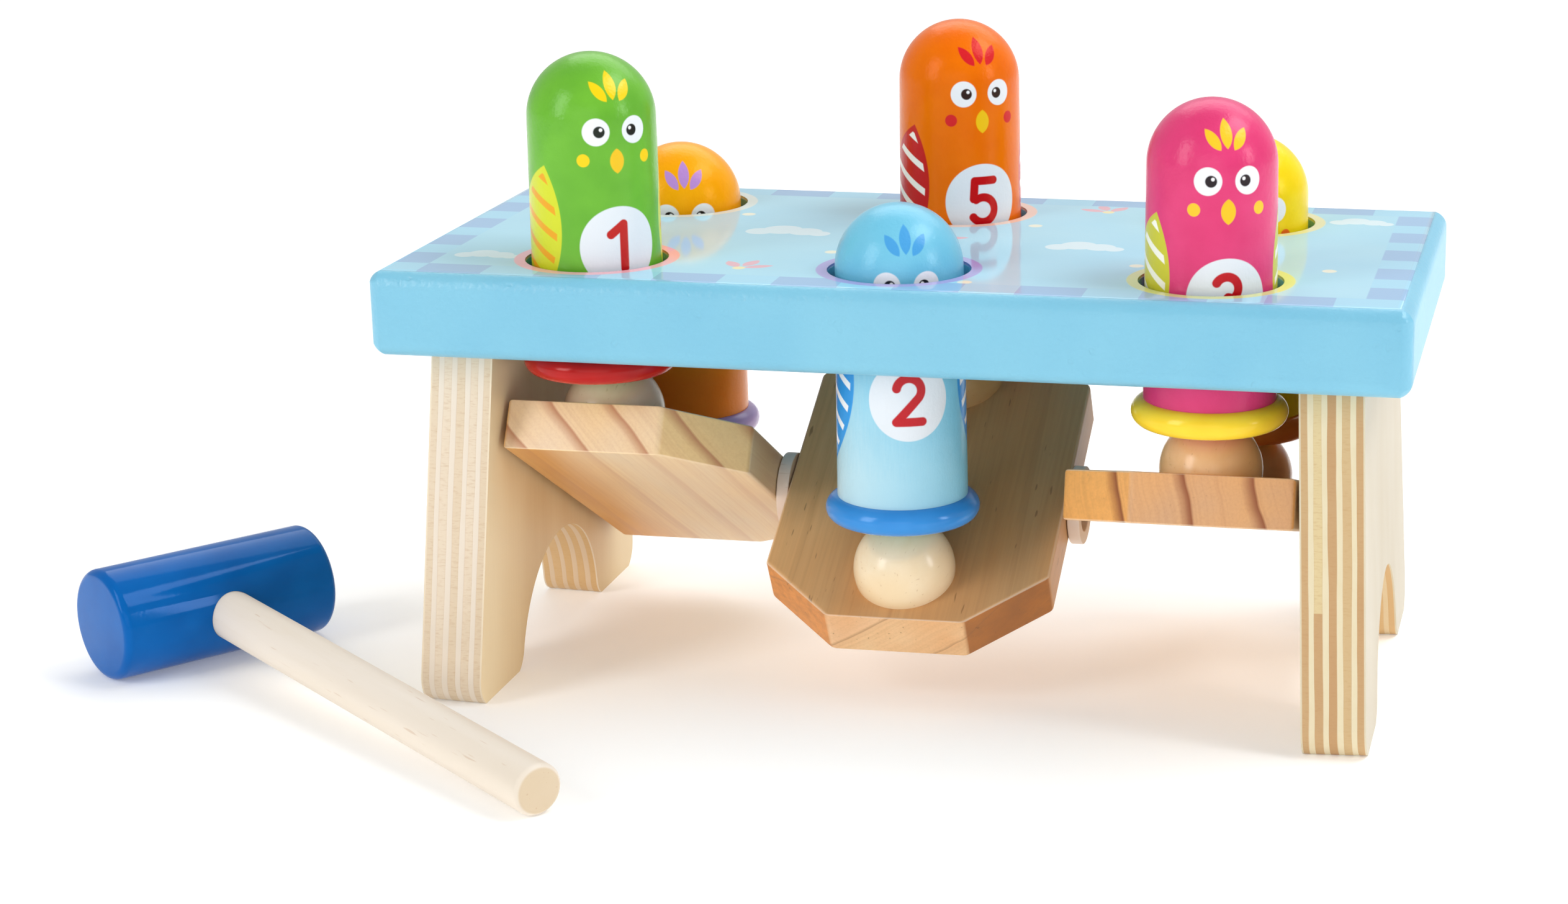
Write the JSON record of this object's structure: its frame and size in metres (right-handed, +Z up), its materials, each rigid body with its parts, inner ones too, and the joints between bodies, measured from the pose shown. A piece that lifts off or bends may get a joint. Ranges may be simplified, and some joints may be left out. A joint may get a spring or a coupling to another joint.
{
  "type": "peg pounding bench",
  "caption": "Wooden pounding bench: a drilled board on arched legs, see-saw rockers that lift a peg when its partner is knocked down, and a loose hammer.",
  "frame": {"origin": "middle of the set's footprint, bench and hammer together, on the floor", "axes": "+X to the right along the board, +Y to the back, +Z up"},
  "size_m": [0.3284, 0.1854, 0.1548],
  "materials": {
    "board_paint": "satin light blue paint, with a glossy printed top",
    "leg_plywood": "bare birch plywood, sanded edges that show the plies",
    "dowel_wood": "bare beech",
    "axle_wood": "bare beech",
    "rocker_pine": "varnished pine with reddish growth lines",
    "spacer_wood": "bare pale wood",
    "ball_wood": "varnished wood",
    "hammer_blue": "glossy deep blue paint",
    "handle_beech": "bare pale beech",
    "peg_green": "glossy paint",
    "peg_blue": "glossy paint",
    "peg_pink": "glossy paint",
    "peg_amber": "glossy paint",
    "peg_orange": "glossy paint",
    "peg_yellow": "glossy paint",
    "collar_red": "glossy paint",
    "collar_royal": "glossy paint",
    "collar_yellow": "glossy paint",
    "collar_lilac": "glossy paint",
    "collar_violet": "glossy paint",
    "collar_orange": "glossy paint"
  },
  "bodies": {
    "bench": {"board": "board_paint", "left_leg": "leg_plywood", "right_leg": "leg_plywood", "left_leg_dowels": "dowel_wood", "right_leg_dowels": "dowel_wood", "axle": "axle_wood", "left_spacer": "spacer_wood", "right_spacer": "spacer_wood"},
    "left_rocker": {"left_rocker": "rocker_pine", "half_ball_1": "ball_wood", "half_ball_4": "ball_wood"},
    "middle_rocker": {"middle_rocker": "rocker_pine", "half_ball_2": "ball_wood", "half_ball_5": "ball_wood"},
    "right_rocker": {"right_rocker": "rocker_pine", "half_ball_3": "ball_wood", "half_ball_6": "ball_wood"},
    "peg_1": {"peg_1": "peg_green", "collar_1": "collar_red"},
    "peg_2": {"peg_2": "peg_blue", "collar_2": "collar_royal"},
    "peg_3": {"peg_3": "peg_pink", "collar_3": "collar_yellow"},
    "peg_4": {"peg_4": "peg_amber", "collar_4": "collar_lilac"},
    "peg_5": {"peg_5": "peg_orange", "collar_5": "collar_violet"},
    "peg_6": {"peg_6": "peg_yellow", "collar_6": "collar_orange"},
    "hammer": {"hammer_head": "hammer_blue", "hammer_handle": "handle_beech"}
  },
  "joints": [
    {"name": "left_rock", "type": "hinge", "parent": "bench", "child": "left_rocker", "pos_m": [-0.03008, 0.03397, 0.04272], "axis": [1, 0, 0], "range_deg": [0, 57.98]},
    {"name": "middle_rock", "type": "hinge", "parent": "bench", "child": "middle_rocker", "pos_m": [0.04312, 0.03397, 0.04272], "axis": [1, 0, 0], "range_deg": [-57.98, 0]},
    {"name": "right_rock", "type": "hinge", "parent": "bench", "child": "right_rocker", "pos_m": [0.11632, 0.03397, 0.04272], "axis": [1, 0, 0], "range_deg": [-11.99, 45.99]},
    {"name": "peg_1_slide", "type": "slide", "parent": "bench", "child": "peg_1", "axis": [0, 0, 1], "range_m": [-0.0331, 0]},
    {"name": "peg_2_slide", "type": "slide", "parent": "bench", "child": "peg_2", "axis": [0, 0, 1], "range_m": [0, 0.0334]},
    {"name": "peg_3_slide", "type": "slide", "parent": "bench", "child": "peg_3", "axis": [0, 0, 1], "range_m": [-0.0261, 0.0068]},
    {"name": "peg_4_slide", "type": "slide", "parent": "bench", "child": "peg_4", "axis": [0, 0, 1], "range_m": [0, 0.0334]},
    {"name": "peg_5_slide", "type": "slide", "parent": "bench", "child": "peg_5", "axis": [0, 0, 1], "range_m": [-0.0331, 0]},
    {"name": "peg_6_slide", "type": "slide", "parent": "bench", "child": "peg_6", "axis": [0, 0, 1], "range_m": [-0.007, 0.0268]},
    {"name": "hammer_lift", "type": "slide", "parent": "bench", "child": "hammer", "axis": [0, 0, 1], "range_m": [0, 0.15]}
  ],
  "couplings": [
    {"joint": "peg_1_slide", "follows": "left_rock", "m_per_rad": -0.0327},
    {"joint": "peg_2_slide", "follows": "middle_rock", "m_per_rad": -0.033},
    {"joint": "peg_3_slide", "follows": "right_rock", "m_per_rad": -0.0324},
    {"joint": "peg_4_slide", "follows": "left_rock", "m_per_rad": 0.033},
    {"joint": "peg_5_slide", "follows": "middle_rock", "m_per_rad": 0.0327},
    {"joint": "peg_6_slide", "follows": "right_rock", "m_per_rad": 0.0333}
  ]
}
